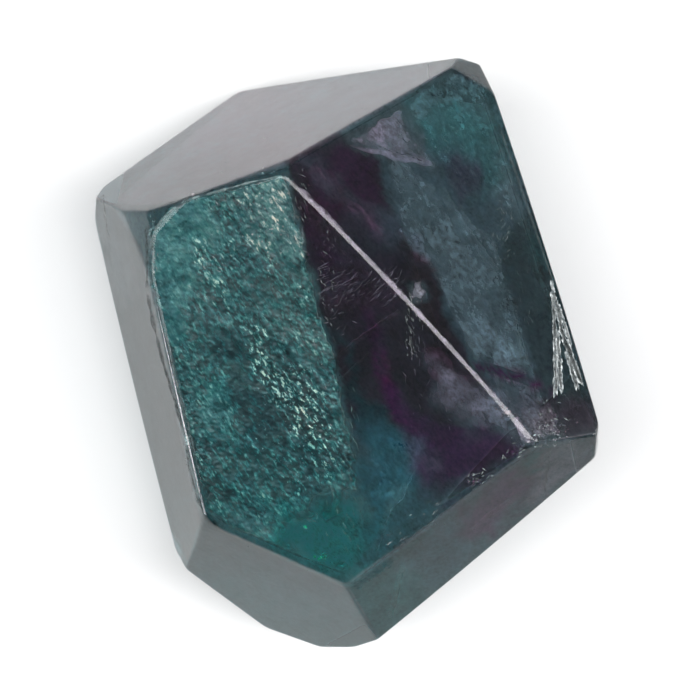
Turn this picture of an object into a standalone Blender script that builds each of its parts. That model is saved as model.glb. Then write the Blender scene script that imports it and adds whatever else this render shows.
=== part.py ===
"""A polished fluorite stone, lying on the flat ground back that its other faces were worked from.

The rough is a block. Every face is one flat grind across it, as on a lapidary's lap, so the stone is
what stays inside all of the grinds. Polishing then takes the edges round. Units are metres, +Z up.
"""

import math

import bmesh
import bpy
from mathutils import Vector

MM = 0.001

# Driving dimensions
STONE_LENGTH = 50.0 * MM  # along Y, before its corners are rounded; the grinds are scaled to it
HEART_HEIGHT = 13.0  # mm; the point inside the stone that the grinds are measured from, above the back
ROUGH_SIZE = 90.0  # mm, side of the block before grinding
EDGE_ROUND = 0.30 * MM  # what polishing takes off an ordinary edge
RIDGE_ROUND = 0.90 * MM  # the long ridge between the two top faces is worn softer
ROUND_STEPS = 3
SMOOTH_ANGLE = math.radians(30)

# Each grind: the way it faces (degrees round from +X, then its tilt from straight up) and its
# distance in mm from the heart. A tilt over 90 degrees undercuts the stone.
TOP_FACES = {
    "near_top": (222.5, 15.0, 13.80),
    "far_top": (42.5, 21.0, 17.20),
}
SIDE_FACES = {
    "back_wall": (113.5, 72.5, 20.55),
    "left_wall": (196.5, 74.0, 16.90),
    "front_left_wall": (244.0, 65.0, 20.00),
    "front_right_wall": (293.0, 50.0, 20.05),
    "right_wall": (16.0, 97.0, 16.55),
}
CORNER_FACES = {
    "back_strip": (126.0, 36.0, 21.75),
    "back_left_strip": (168.0, 32.0, 20.30),
    "left_corner": (187.5, 55.0, 19.50),
    "left_heel": (166.0, 97.0, 23.50),
    "front_left_corner": (221.0, 61.0, 19.70),
    "front_right_corner": (350.0, 82.0, 23.10),
    "back_right_corner": (56.0, 60.0, 26.20),
}
UNDERCUTS = {
    "under_back_left": (141.0, 109.0, 23.65),
    "under_back_right": (82.0, 104.0, 23.05),
    "under_left": (192.0, 110.0, 17.65),
    "under_front_left": (225.0, 108.5, 21.70),
    "under_front": (256.0, 108.0, 24.50),
    "under_front_right": (290.0, 106.0, 22.75),
    "under_right": (316.5, 104.0, 17.35),
}
RESTING_BACK = {"resting_back": (0.0, 180.0, HEART_HEIGHT)}

# Colour of the polished surface, linear, and how glossy it is
FLUORITE_TEAL = (0.050, 0.105, 0.112, 1.0)
POLISH_ROUGHNESS = 0.08
FLUORITE_IOR = 1.434


def clear_scene():
    """Take out whatever the open file holds."""
    for obj in list(bpy.data.objects):
        bpy.data.objects.remove(obj, do_unlink=True)


def facing(azimuth, tilt):
    """Unit vector that faces the given way, from degrees round from +X and degrees from +Z."""
    round_x, from_z = math.radians(azimuth), math.radians(tilt)
    flat = math.sin(from_z)
    return Vector((math.cos(round_x) * flat, math.sin(round_x) * flat, math.cos(from_z)))


def grind(bm, azimuth, tilt, reach):
    """Cut away all that lies past one plane and close the cut with a flat face."""
    outward = facing(azimuth, tilt)
    heart = Vector((0.0, 0.0, HEART_HEIGHT))
    cut = bmesh.ops.bisect_plane(
        bm,
        geom=bm.verts[:] + bm.edges[:] + bm.faces[:],
        plane_co=heart + outward * reach,
        plane_no=outward,
        clear_outer=True,
    )
    rim = [part for part in cut["geom_cut"] if isinstance(part, bmesh.types.BMEdge)]
    bmesh.ops.contextual_create(bm, geom=rim)


def ground_stone():
    """The sharp-edged stone in mm: a block with every grind made."""
    bm = bmesh.new()
    bmesh.ops.create_cube(bm, size=ROUGH_SIZE)
    for group in (RESTING_BACK, UNDERCUTS, SIDE_FACES, TOP_FACES, CORNER_FACES):
        for azimuth, tilt, reach in group.values():
            grind(bm, azimuth, tilt, reach)
    bmesh.ops.recalc_face_normals(bm, faces=bm.faces)
    return bm


def scale_to_length(bm):
    """Bring the ground stone to its real length along Y, in metres."""
    along = [v.co.y for v in bm.verts]
    factor = STONE_LENGTH / (max(along) - min(along))
    bmesh.ops.scale(bm, vec=(factor, factor, factor), verts=bm.verts)


def faces_the_way(face, azimuth, tilt):
    """Whether a face is the one that a grind with this facing made."""
    return face.normal.dot(facing(azimuth, tilt)) > 0.9999


def weigh_edges(bm):
    """Give the ridge between the two top faces the full edge round, and every other edge less."""
    weight = bm.edges.layers.float.new("bevel_weight_edge")
    near, far = TOP_FACES["near_top"][:2], TOP_FACES["far_top"][:2]
    for edge in bm.edges:
        edge[weight] = EDGE_ROUND / RIDGE_ROUND
        one, other = edge.link_faces
        for a, b in ((one, other), (other, one)):
            if faces_the_way(a, *near) and faces_the_way(b, *far):
                edge[weight] = 1.0


def polish(obj):
    """Round the edges by their weights, as a live modifier."""
    bevel = obj.modifiers.new("polished_edges", "BEVEL")
    bevel.width = RIDGE_ROUND
    bevel.segments = ROUND_STEPS
    bevel.limit_method = "WEIGHT"
    bevel.harden_normals = True


def fluorite_material():
    """Dark teal crystal with a polish."""
    material = bpy.data.materials.new("fluorite")
    material.use_nodes = True
    shader = material.node_tree.nodes["Principled BSDF"]
    shader.inputs["Base Color"].default_value = FLUORITE_TEAL
    shader.inputs["Roughness"].default_value = POLISH_ROUGHNESS
    shader.inputs["Metallic"].default_value = 0.0
    shader.inputs["IOR"].default_value = FLUORITE_IOR
    return material


def rest_on_origin(obj):
    """Move the mesh so that the finished stone's box stands centred on the origin."""
    finished = obj.evaluated_get(bpy.context.evaluated_depsgraph_get())
    corners = [Vector(corner) for corner in finished.bound_box]
    low = Vector(min(c[axis] for c in corners) for axis in range(3))
    high = Vector(max(c[axis] for c in corners) for axis in range(3))
    shift = Vector((-(low.x + high.x) / 2, -(low.y + high.y) / 2, -low.z))
    for vertex in obj.data.vertices:
        vertex.co += shift


def make_stone():
    """The one piece of the object."""
    bm = ground_stone()
    scale_to_length(bm)
    weigh_edges(bm)
    mesh = bpy.data.meshes.new("fluorite_stone")
    bm.to_mesh(mesh)
    bm.free()
    stone = bpy.data.objects.new("fluorite_stone", mesh)
    bpy.context.scene.collection.objects.link(stone)
    mesh.materials.append(fluorite_material())
    polish(stone)
    mesh.shade_smooth()
    mesh.set_sharp_from_angle(angle=SMOOTH_ANGLE)
    rest_on_origin(stone)
    return stone


clear_scene()
make_stone()
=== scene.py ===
import itertools

import bpy
import numpy as np
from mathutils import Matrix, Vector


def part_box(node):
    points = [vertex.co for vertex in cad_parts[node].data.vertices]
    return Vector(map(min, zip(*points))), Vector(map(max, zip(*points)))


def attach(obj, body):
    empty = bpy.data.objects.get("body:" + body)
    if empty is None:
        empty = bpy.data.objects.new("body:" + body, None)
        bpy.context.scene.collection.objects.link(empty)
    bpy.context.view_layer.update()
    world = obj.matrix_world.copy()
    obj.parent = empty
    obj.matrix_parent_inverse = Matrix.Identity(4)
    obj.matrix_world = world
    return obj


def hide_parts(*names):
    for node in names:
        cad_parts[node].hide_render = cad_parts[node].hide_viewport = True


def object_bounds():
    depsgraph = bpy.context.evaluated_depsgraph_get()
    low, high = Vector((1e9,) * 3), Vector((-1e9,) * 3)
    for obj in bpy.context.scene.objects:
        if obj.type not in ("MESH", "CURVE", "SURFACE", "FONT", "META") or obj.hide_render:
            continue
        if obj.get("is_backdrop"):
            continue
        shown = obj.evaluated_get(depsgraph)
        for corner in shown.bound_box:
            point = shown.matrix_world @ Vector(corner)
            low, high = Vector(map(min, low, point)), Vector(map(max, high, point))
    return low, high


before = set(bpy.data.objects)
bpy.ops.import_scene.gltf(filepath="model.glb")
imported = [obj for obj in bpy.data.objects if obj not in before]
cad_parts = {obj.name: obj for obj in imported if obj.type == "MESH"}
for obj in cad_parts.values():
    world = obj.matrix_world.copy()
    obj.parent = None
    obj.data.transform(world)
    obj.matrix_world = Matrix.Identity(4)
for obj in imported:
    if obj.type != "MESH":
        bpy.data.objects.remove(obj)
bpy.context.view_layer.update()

# ---------------------------------------------------------------------------------------------
# The stone itself: one piece of clear teal and purple fluorite, cut flat on a lap and then
# polished by hand, which leaves its faces a little crowned and its edges soft. It lies on its
# flat back, which was only ground fine and so is matt.
# ---------------------------------------------------------------------------------------------

MM = 0.001
GRIND_SCALE = 1.0038  # what brings the grinds below to the real stone's size

# Each grind: the way it faces (degrees round from +X, then its tilt from straight up), its
# distance in mm from the heart, which is a point in the middle of the stone, and the radius in mm
# that it is crowned to along its level line.
# Ten rows hold what a least-squares fit made outside this script gave for where the edges run:
# the tops, back_wall, left_wall, the front walls, the strips, left_corner and front_left_corner.
# left_edge and foot_edge face half-way between near_top and the wall below it.
FLAT = 1500.0  # mm, a crown too slight to see
GRINDS = {
    "near_top": (223.3, 16.7, 13.68, 780.0),
    "far_top": (42.6, 21.1, 17.55, 272.0),
    "back_wall": (114.2, 72.2, 20.45, 900.0),
    "left_wall": (195.2, 72.7, 17.02, 900.0),
    "front_left_wall": (243.2, 64.1, 19.81, 700.0),
    "front_right_wall": (292.4, 50.1, 19.88, 700.0),
    "right_wall": (16.0, 97.0, 16.55, 900.0),
    "back_strip": (126.2, 36.2, 21.75, FLAT),
    "back_left_strip": (166.2, 31.0, 20.10, FLAT),
    "left_corner": (185.0, 56.1, 19.66, FLAT),
    "left_heel": (166.0, 97.0, 23.45, FLAT),
    "front_left_corner": (221.4, 61.0, 19.82, FLAT),
    "front_right_corner": (350.0, 82.0, 23.05, FLAT),
    "back_right_corner": (56.0, 60.0, 26.20, FLAT),
    "under_back_left": (141.0, 109.0, 23.75, FLAT),
    "under_back_right": (82.0, 104.0, 23.10, 900.0),
    "under_left": (192.0, 110.0, 17.75, 900.0),
    "under_front_left": (225.0, 108.5, 21.85, FLAT),
    "under_front": (256.0, 108.0, 24.60, FLAT),
    "under_front_right": (290.0, 106.0, 22.75, FLAT),
    "under_right": (316.5, 104.0, 17.25, 900.0),
    "ridge_flat": (38.6, 2.0, 16.43, 620.0),
    "ridge_heel": (312.6, 3.2, 16.70, FLAT),
    "left_edge": (201.6, 44.1, 17.50, FLAT),
    "foot_edge": (275.2, 29.6, 18.19, FLAT),
    "resting_back": (0.0, 180.0, 12.67, 1e6),
}
EDGE_SOFTNESS = 0.07  # mm, the depth that polishing takes off where two grinds meet
EDGE_STEP = 0.38  # mm between mesh points along an edge
# mm from the edges to the mesh rings inside each face, and the ring spacing further in
EDGE_RINGS = (0.05, 0.10, 0.16, 0.23, 0.32, 0.44, 0.60, 0.85)
RING_STEP = 0.33
BEYOND = 60.0  # mm, further from the heart than any of the skin
HALVINGS, THIRDINGS, SETTLINGS = 26, 18, 8  # rounds of each search below


def facing(azimuth, tilt):
    """Unit vectors for directions given by degrees round from +X and degrees from +Z."""
    a, t = np.radians(azimuth), np.radians(tilt)
    return np.stack([np.cos(a) * np.sin(t), np.sin(a) * np.sin(t), np.cos(t)], axis=-1)


GRIND_TABLE = np.array(list(GRINDS.values()))
OUTWARD = facing(GRIND_TABLE[:, 0], GRIND_TABLE[:, 1])
LEVEL = facing(GRIND_TABLE[:, 0] + 90, np.full(len(GRINDS), 90.0))
REACH, CROWN = GRIND_TABLE[:, 2], GRIND_TABLE[:, 3]


def grind_depths(points):
    """How far points (N, 3), in mm from the heart, lie past each grind: outward . p - reach, plus
    the crown, (level . p) squared over twice its radius."""
    return points @ OUTWARD.T - REACH + (points @ LEVEL.T) ** 2 / (2 * CROWN)


def outside(points):
    """How far points lie outside the stone: the soft maximum of their depths past every grind,
    softness * log(sum(exp(depth / softness)))."""
    depth = grind_depths(points) / EDGE_SOFTNESS
    highest = depth.max(axis=1)
    return EDGE_SOFTNESS * (highest + np.log(np.exp(depth - highest[:, None]).sum(axis=1)))


def reach_along(starts, rays, longest):
    """Distance along unit rays to the skin, by halving the span that holds it."""
    near, far = np.zeros(len(rays)), np.full(len(rays), longest)
    for _ in range(HALVINGS):
        middle = (near + far) / 2
        out = outside(starts + rays * middle[:, None]) > 0
        far = np.where(out, middle, far)
        near = np.where(out, near, middle)
    return (near + far) / 2


def outward_normals(points):
    """The gradient of outside() by central differences over a hundredth of a millimetre."""
    step = 0.01
    sides = [outside(points + step * axis) - outside(points - step * axis) for axis in np.eye(3)]
    slope = np.stack(sides, axis=1)
    return slope / np.linalg.norm(slope, axis=1, keepdims=True)


def settle(points, grinds):
    """Move points (N, 3) onto their own two or three crowned grinds (N, 2 or 3), by Newton steps of
    the least length."""
    rows = np.arange(len(points))[:, None]
    for _ in range(SETTLINGS):
        off = grind_depths(points)[rows, grinds]
        along = np.einsum("nd,ngd->ng", points, LEVEL[grinds])
        slope = OUTWARD[grinds] + (along / CROWN[grinds])[..., None] * LEVEL[grinds]
        points = points - np.einsum("ndg,ng->nd", np.linalg.pinv(slope), off)
    return points


def stone_corners():
    """Corners (N, 3) where three grinds meet with no other deeper, and their grinds (N, 3)."""
    trios = np.array(list(itertools.combinations(range(len(GRINDS)), 3)))
    trios = trios[np.abs(np.linalg.det(OUTWARD[trios])) > 1e-3]
    points = np.linalg.solve(OUTWARD[trios], REACH[trios][..., None])[..., 0]
    near = np.linalg.norm(points, axis=1) < BEYOND
    points, trios = settle(points[near], trios[near]), trios[near]
    kept = grind_depths(points).max(axis=1) < 1e-6
    return points[kept], trios[kept]


def ring_scales(inner_radius):
    """Ring sizes of one face, as shares of its outline: the edge rings, then even steps inwards."""
    inwards = [d for d in EDGE_RINGS if d < inner_radius * 0.9]
    inwards += list(np.arange(EDGE_RINGS[-1] + RING_STEP, inner_radius * 0.97, RING_STEP))
    return 1 - np.array(inwards) / inner_radius


def stone_skin():
    """Points in mm from the heart and faces of the whole skin, with no doubled point.

    Each ground face is a grid of rings: its outline, sampled evenly along every edge, is shrunk
    towards its middle by each of the ring scales, and every point is then carried out from the
    heart to where outside() is zero. Neighbours share the points of the edge between them.
    """
    corners, trios = stone_corners()
    blocks, faces, edges, count = [corners], [], {}, len(corners)
    for grind in range(len(GRINDS)):
        own = np.flatnonzero((trios == grind).any(axis=1))
        if len(own) < 3:
            continue
        middle = corners[own].mean(axis=0)
        across = np.cross(OUTWARD[grind], LEVEL[grind])
        spread = corners[own] - middle
        own = own[np.argsort(np.arctan2(spread @ across, spread @ LEVEL[grind]))]
        outline = []
        for one, other in zip(own, np.roll(own, -1)):
            key = (min(one, other), max(one, other))
            if key not in edges:
                pair = np.intersect1d(trios[one], trios[other])
                start, end = corners[key[0]], corners[key[1]]
                steps = max(1, int(np.ceil(np.linalg.norm(end - start) / EDGE_STEP)))
                share = np.arange(1, steps)[:, None] / steps
                line = start + (end - start) * share
                blocks.append(settle(line, np.tile(pair, (steps - 1, 1))) if steps > 1 else line)
                edges[key] = count + np.arange(steps - 1)
                count += steps - 1
            between = edges[key] if one == key[0] else edges[key][::-1]
            outline += [one, *between]
        outline = np.array(outline)
        rim = np.concatenate(blocks)[outline]
        centre = rim.mean(axis=0)
        chord = np.roll(rim, -1, axis=0) - rim
        off_centre = np.linalg.norm(np.cross(chord, centre - rim), axis=1)
        scales = ring_scales((off_centre / np.linalg.norm(chord, axis=1)).min())
        rings = centre + (rim - centre) * scales[:, None, None]
        blocks += [rings.reshape(-1, 3), centre[None, :]]
        inner = count + np.arange(len(scales) * len(outline)).reshape(len(scales), -1)
        loops = np.concatenate([outline[None, :], inner])
        ahead = np.roll(loops, -1, axis=1)
        quads = np.stack([loops[:-1], ahead[:-1], ahead[1:], loops[1:]], axis=-1)
        pole = np.full(len(outline), count + inner.size)
        faces += [quads.reshape(-1, 4), np.stack([loops[-1], ahead[-1], pole], axis=-1)]
        count += inner.size + 1
    rays = np.concatenate(blocks)
    rays /= np.linalg.norm(rays, axis=1, keepdims=True)
    return rays * reach_along(0 * rays, rays, BEYOND)[:, None], faces


def mesh_piece(name, points, faces, normals=None):
    """A smooth mesh object at the origin from points in metres and lists of face index arrays."""
    mesh = bpy.data.meshes.new(name)
    mesh.from_pydata(points.tolist(), [], [face for part in faces for face in part.tolist()])
    mesh.shade_smooth()
    if normals is not None:
        mesh.normals_split_custom_set_from_vertices(normals.tolist())
    piece = bpy.data.objects.new(name, mesh)
    bpy.context.scene.collection.objects.link(piece)
    return piece


def mark(piece, name, values, kind="FLOAT"):
    """Give each point of a piece a number, or with FLOAT_COLOR a colour and how solid it is."""
    layer = piece.data.attributes.new(name, kind, "POINT").data
    layer.foreach_set("value" if kind == "FLOAT" else "color", values.ravel())


def with_solidness(colour, solid):
    """Colours (..., 3) with how solid they are (...) put behind them."""
    return np.concatenate([colour, solid[..., None]], axis=-1)


def smooth_step(value, start, end):
    """0 before start, 1 after end, and the cubic 3t^2 - 2t^3 between."""
    t = np.clip((value - start) / (end - start), 0, 1)
    return t * t * (3 - 2 * t)


skin_points, skin_faces = stone_skin()
skin_normals = outward_normals(skin_points)
low, high = (np.array(corner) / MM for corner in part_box("fluorite_stone"))
sized = skin_points * GRIND_SCALE
SEAT = np.array([
    (low[0] + high[0] - sized[:, 0].min() - sized[:, 0].max()) / 2,
    (low[1] + high[1] - sized[:, 1].min() - sized[:, 1].max()) / 2,
    low[2] - sized[:, 2].min(),
])  # mm, where the heart is in the frame once the stone stands in its node's box


def in_frame(points):
    """Points in mm from the heart, at the stone's real size and place, in metres."""
    return (points * GRIND_SCALE + SEAT) * MM


# The colour zones are laid out on a plan drawing, 700 steps a side and y down, of the stone seen
# from an eye over its middle: a step is about a twelfth of a millimetre.
EYE = np.array([0.56, 0.51, 450.0])  # mm
PLAN_SCALE, PLAN_MIDDLE = 5141.0, 350.0  # steps per unit of slope from the eye, and the middle


def plan_place(points):
    """Where points, in mm from the heart, are on the plan drawing: scale * sideways / down."""
    away = points * GRIND_SCALE + SEAT - EYE
    slope = away[:, :2] / -away[:, 2:]
    return PLAN_MIDDLE + PLAN_SCALE * slope * (1, -1)


def ripple(places, size, seed):
    """A smooth wandering field between about -1 and 1: the sum of fourteen sine waves, whose
    directions, phases and lengths (0.6 to 2 times size) come from the seed."""
    dice = np.random.default_rng(seed)
    wave = dice.normal(size=(14, places.shape[1]))
    wave *= (2 * np.pi / size / dice.uniform(0.6, 2.0, 14) / np.linalg.norm(wave, axis=1))[:, None]
    return np.sin(places @ wave.T + dice.uniform(0, 2 * np.pi, 14)).sum(axis=1) / 3.7


def inside_by(places, outline):
    """Signed distance of plan places (N, 2) inside a closed outline: the distance to its nearest
    side, with the sign from how many sides a level line from the place crosses."""
    start = np.array(outline, float)
    side = np.roll(start, -1, axis=0) - start
    nearest, odd = np.full(len(places), 1e9), np.zeros(len(places), bool)
    for (x, y), (dx, dy) in zip(start, side):
        px, py = places[:, 0] - x, places[:, 1] - y
        share = np.clip((px * dx + py * dy) / (dx * dx + dy * dy), 0, 1)
        nearest = np.minimum(nearest, np.hypot(px - share * dx, py - share * dy))
        if dy:
            odd ^= ((py < 0) != (py - dy < 0)) & (px < dx * py / dy)
    return np.where(odd, nearest, -nearest)


BROAD_WANDER, FINE_WANDER, FINE_SHARE = 38, 11, 0.35  # steps, and how much of the wander is fine


def paint(places, ground, zones):
    """Colours (N, C) of plan places: the ground, then each zone blended over what is there, by
    strength * smooth step of the distance inside its outline, whose edge wanders by ripples."""
    colour = np.tile(np.array(ground, float), (len(places), 1))
    for number, (outline, softness, wander, strength, own) in enumerate(zones):
        shifted = places
        for size, part, seed in ((BROAD_WANDER, 1, 3), (FINE_WANDER, FINE_SHARE, 103)):
            seeds = (2 * number + seed, 2 * number + seed + 1)
            push = np.stack([ripple(places, size, own_seed) for own_seed in seeds], axis=1)
            shifted = shifted + part * wander * push
        share = strength * smooth_step(inside_by(shifted, outline), -softness, softness)
        colour += share[:, None] * (np.array(own) - colour)
    return colour


# Each zone: its outline, softness and wander in steps, its strength, and its own tint, which is
# what the crystal there lets through.
GRAIN_EDGE = [
    (290, 180), (298, 219), (305, 240), (309, 260), (315, 281), (321, 315), (331, 341),
    (337, 357), (341, 382), (345, 407), (351, 433), (357, 470), (363, 499), (366, 520),
]
COLUMN_EDGE = [
    (384, 118), (381, 150), (392, 200), (399, 228), (412, 248), (432, 260), (440, 280),
    (447, 305), (458, 335), (474, 366),
]
SLATE_EDGE = [
    (530, 205), (512, 226), (500, 250), (500, 270), (513, 300), (522, 340), (535, 370), (548, 420),
]
PURPLE_VEIN = [(473, 362), (500, 367), (524, 374), (552, 388), (556, 396), (530, 386), (500, 376),
               (478, 370)]
RIDGE_FOOT = [(526, 410), (552, 406), (562, 430), (540, 440), (526, 430)]
TEAL = (0.55, 0.90, 0.97)
TINT_ZONES = [
    # the teal half under the near top face, paler up on its left and strongest at its foot
    ([(100, 150), (285, 150)] + GRAIN_EDGE + [(370, 600), (150, 640), (60, 300)], 2, 1.5, 1, TEAL),
    ([(228, 196), (292, 178), (306, 262), (272, 264), (236, 228)], 10, 6, 0.85, (0.93, 0.95, 1.0)),
    ([(270, 262), (306, 262), (322, 345), (298, 352), (268, 326)], 10, 6, 0.8, (0.66, 1.0, 1.0)),
    ([(150, 258), (172, 256), (180, 345), (160, 350)], 6, 4, 0.8, (0.44, 0.72, 0.79)),
    ([(215, 432), (330, 440), (352, 500), (300, 516), (215, 500)], 20, 8, 0.85, (0.34, 0.92, 1.0)),
    ([(205, 330), (250, 340), (255, 400), (230, 425), (200, 390)], 16, 8, 0.6, (0.24, 0.70, 0.78)),
    ([(250, 400), (275, 400), (268, 440), (240, 450)], 10, 6, 0.6, (0.20, 0.60, 0.68)),
    ([(285, 512), (345, 500), (385, 520), (372, 562), (340, 583), (270, 548)], 16, 6, 0.9,
     (0.03, 1.0, 0.90)),
    ([(262, 540), (345, 572), (352, 590), (255, 556)], 6, 3, 0.6, (0.04, 0.30, 0.30)),
    # the dark purple column right of it, through the ridge
    ([(285, 150)] + COLUMN_EDGE + [(500, 380), (440, 470), (380, 440), (352, 435)]
     + GRAIN_EDGE[::-1][3:], 3, 2, 1, (0.13, 0.055, 0.085)),
    ([(296, 158), (345, 150), (378, 160), (388, 215), (350, 235), (312, 195)], 12, 7, 0.8,
     (0.20, 0.016, 0.09)),
    ([(345, 205), (390, 215), (398, 240), (372, 262), (345, 240)], 12, 6, 0.6, (0.16, 0.12, 0.18)),
    ([(300, 215), (330, 225), (345, 262), (325, 285), (308, 262)], 12, 6, 0.7,
     (0.14, 0.004, 0.07)),
    ([(316, 318), (346, 350), (352, 420), (385, 460), (400, 430), (366, 395), (350, 345)],
     9, 5, 0.8, (0.03, 0.17, 0.21)),
    ([(364, 312), (374, 312), (384, 342), (388, 366), (398, 396), (412, 418), (428, 440),
      (414, 450), (400, 428), (386, 402), (375, 368), (370, 344)], 4.5, 2.5, 1, (0.40, 0.02, 0.20)),
    ([(376, 342), (383, 342), (389, 372), (382, 376)], 3, 2, 0.7, (0.38, 0.09, 0.25)),
    ([(294, 158), (320, 157), (345, 188), (372, 210), (392, 226), (392, 244), (374, 236), (345, 206),
      (312, 180)], 6, 4, 0.85, (0.36, 0.18, 0.30)),
    ([(405, 262), (432, 268), (446, 310), (455, 345), (430, 330), (408, 296)], 8, 4, 0.8,
     (0.16, 0.05, 0.06)),
    ([(342, 300), (372, 306), (388, 340), (376, 352), (356, 338)], 8, 4, 0.7, (0.09, 0.02, 0.05)),
    # the purple and blue cloud along the foot of both top faces
    ([(352, 430), (380, 425), (420, 445), (425, 500), (395, 545), (365, 560), (360, 480)],
     16, 7, 0.9, (0.12, 0.50, 0.61)),
    ([(390, 490), (412, 486), (422, 500), (402, 522), (386, 520)], 7, 4, 0.9, (0.44, 0.92, 1.0)),
    ([(405, 415), (440, 432), (500, 432), (520, 448), (470, 485), (430, 505), (412, 470)],
     12, 6, 0.95, (0.34, 0.05, 0.23)),
    ([(405, 440), (424, 438), (428, 460), (410, 464)], 5, 3, 0.8, (0.60, 0.40, 0.68)),
    ([(400, 505), (445, 480), (520, 440), (525, 455), (440, 510), (375, 568), (360, 570)],
     9, 5, 0.75, (0.22, 0.42, 0.52)),
    ([(430, 478), (500, 440), (524, 448), (472, 486), (440, 500)], 8, 4, 0.8, (0.26, 0.10, 0.20)),
    # the clear grey-teal block under the far top face
    ([(400, 105), (500, 60), (540, 200), (500, 260), (515, 300), (550, 425), (520, 420),
      (478, 368)] + COLUMN_EDGE[::-1][1:], 4, 3, 1, (0.40, 0.49, 0.58)),
    ([(388, 112), (440, 70), (500, 70), (522, 170), (480, 190), (430, 150)], 18, 8, 0.9,
     (0.23, 0.52, 0.55)),
    ([(440, 150), (478, 160), (486, 188), (462, 204), (446, 180)], 8, 5, 0.85,
     (0.24, 0.18, 0.28)),
    ([(344, 136), (400, 98), (412, 118), (436, 167), (400, 160), (366, 147)], 5, 3, 0.95,
     (0.52, 0.52, 0.57)),
    ([(318, 262), (345, 250), (398, 258), (400, 298), (366, 322), (322, 302)], 12, 7, 0.4,
     (0.16, 0.04, 0.12)),
    ([(380, 205), (396, 215), (402, 240), (388, 250)], 5, 3, 0.8, (0.40, 0.34, 0.46)),
    (SLATE_EDGE + [(600, 430), (600, 300), (560, 200)], 4, 3, 1, (0.17, 0.21, 0.23)),
    ([(552, 180), (585, 290), (560, 300), (530, 240)], 10, 4, 0.6, (0.09, 0.32, 0.32)),
    ([(430, 360), (446, 366), (470, 382), (540, 398), (550, 428), (530, 440), (500, 432), (446, 414)],
     8, 5, 0.85, (0.44, 0.37, 0.45)),
    (PURPLE_VEIN, 2.0, 1.0, 1, (0.34, 0.02, 0.17)),
    ([(545, 395), (600, 400), (600, 440), (552, 436), (525, 447)], 7, 4, 0.9,
     (0.28, 0.10, 0.16)),
    (RIDGE_FOOT, 7, 5, 0.8, (0.46, 0.42, 0.47)),
    ([(452, 428), (505, 438), (520, 448), (480, 472), (440, 480), (425, 452)], 7, 4, 0.85,
     (0.28, 0.03, 0.17)),
    ([(418, 448), (440, 450), (446, 470), (424, 476)], 6, 4, 0.8, (0.62, 0.20, 0.44)),
    ([(346, 142), (372, 146), (404, 153), (432, 160), (436, 168), (400, 164), (366, 154)], 2, 1,
     0.8, (0.48, 0.48, 0.54)),
    ([(408, 283), (424, 283), (428, 300), (413, 303)], 4, 1, 0.9, (0.60, 0.60, 0.66)),
    ([(425, 82), (452, 60), (480, 60), (500, 100), (480, 84), (452, 72)], 3, 0, 0.95,
     (0.06, 0.10, 0.12)),
    # the walls
    ([(348, 588), (530, 452), (600, 436), (590, 470), (385, 650)], 2, 0, 1, (0.03, 0.17, 0.17)),
    ([(400, 560), (470, 500), (520, 480), (500, 540), (440, 600)], 18, 6, 0.7,
     (0.14, 0.22, 0.28)),
    ([(455, 505), (515, 465), (545, 480), (500, 535), (460, 540)], 16, 6, 0.85,
     (0.20, 0.03, 0.12)),
    ([(545, 447), (600, 437), (590, 465), (530, 500)], 8, 4, 0.7, (0.78, 0.50, 0.56)),
    ([(196, 498), (222, 530), (348, 588), (385, 645), (300, 670), (170, 600)], 2, 0, 1,
     (0.03, 0.15, 0.17)),
    ([(90, 190), (112, 205), (140, 245), (200, 520), (188, 560), (150, 500)], 2, 0, 1,
     (0.05, 0.11, 0.12)),
    ([(90, 190), (112, 205), (135, 290), (115, 300)], 14, 4, 1, (0.26, 0.32, 0.34)),
]


def part_material(name):
    """A new material with nodes, its node tree and its surface shader."""
    material = bpy.data.materials.new(name)
    material.use_nodes = True
    return material, material.node_tree, material.node_tree.nodes["Principled BSDF"]


def add_node(tree, kind, inputs=(), **settings):
    """A shader node of a kind, with its settings; each input is a plain value or a socket to wire."""
    node = tree.nodes.new("ShaderNode" + kind)
    for key, value in settings.items():
        setattr(node, key, value)
    for key, value in dict(inputs).items():
        if isinstance(value, bpy.types.NodeSocket):
            tree.links.new(value, node.inputs[key])
        else:
            node.inputs[key].default_value = value
    return node


def noise_field(tree, scale, detail=4.0, roughness=0.6, turn=0.0, stretch=1.0, warp=0.0):
    """Noise on Object coordinates at a scale per metre. Its grains are drawn out stretch times
    along the way turn (radians round from +X), and pushed about by warp metres of slower noise."""
    place = add_node(tree, "TexCoord").outputs["Object"]
    if warp:
        push = add_node(tree, "TexNoise", {"Vector": place, "Scale": scale / 4, "Detail": 2.0})
        place = add_node(tree, "VectorMath", {0: push.outputs["Color"], 1: (warp,) * 3, 2: place},
                         operation="MULTIPLY_ADD").outputs[0]
    place = add_node(tree, "Mapping", {"Vector": place, "Rotation": (0, 0, turn),
                                       "Scale": (stretch, 1, 1)}, vector_type="TEXTURE")
    return add_node(tree, "TexNoise", {
        "Vector": place.outputs[0], "Scale": scale, "Detail": detail, "Roughness": roughness,
    }).outputs[0]


def ranged(tree, value, start, end, low, high):
    """A value mapped from start..end to low..high, held at both ends."""
    return add_node(tree, "MapRange", {
        "Value": value, "From Min": start, "From Max": end, "To Min": low, "To Max": high,
    }).outputs[0]


def creases(tree, scale, way, drawn, width):
    """A net of crease lines, 1 along them and 0 past their width: where noise crosses its middle."""
    off_middle = combined(tree, "SUBTRACT", noise_field(tree, scale, 3, 0.6, way, drawn, 0.0003), 0.5)
    return ranged(tree, combined(tree, "ABSOLUTE", off_middle), 0.0, width, 1.0, 0.0)


def combined(tree, operation, *values):
    """The outcome of a sum on numbers, each a socket or a plain number."""
    return add_node(tree, "Math", dict(enumerate(values)), operation=operation).outputs[0]


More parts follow.
